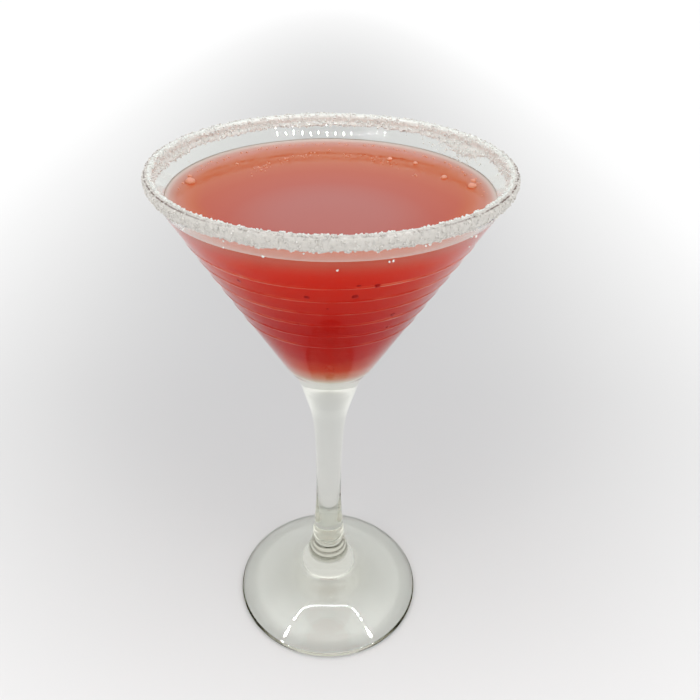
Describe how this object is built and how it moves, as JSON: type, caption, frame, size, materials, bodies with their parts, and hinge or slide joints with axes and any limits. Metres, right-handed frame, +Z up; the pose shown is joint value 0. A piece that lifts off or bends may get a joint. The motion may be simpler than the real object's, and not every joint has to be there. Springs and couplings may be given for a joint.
{
  "type": "strawberry daiquiri",
  "caption": "Strawberry daiquiri in a stemmed cone-shaped cocktail glass with a sugared rim, filled nearly to the lip.",
  "frame": {"origin": "middle of the foot's underside, on the surface that the glass stands on", "axes": "+Z up along the glass's axis, -Y towards the front of the picture, +X to the picture's right"},
  "size_m": [0.1033, 0.1042, 0.179],
  "materials": {
    "clear_glass": "gloss",
    "strawberry_drink": "gloss",
    "sugar": "matte"
  },
  "bodies": {
    "root": {"glass": "clear_glass", "drink": "strawberry_drink", "sugar_rim": "sugar"}
  },
  "joints": []
}
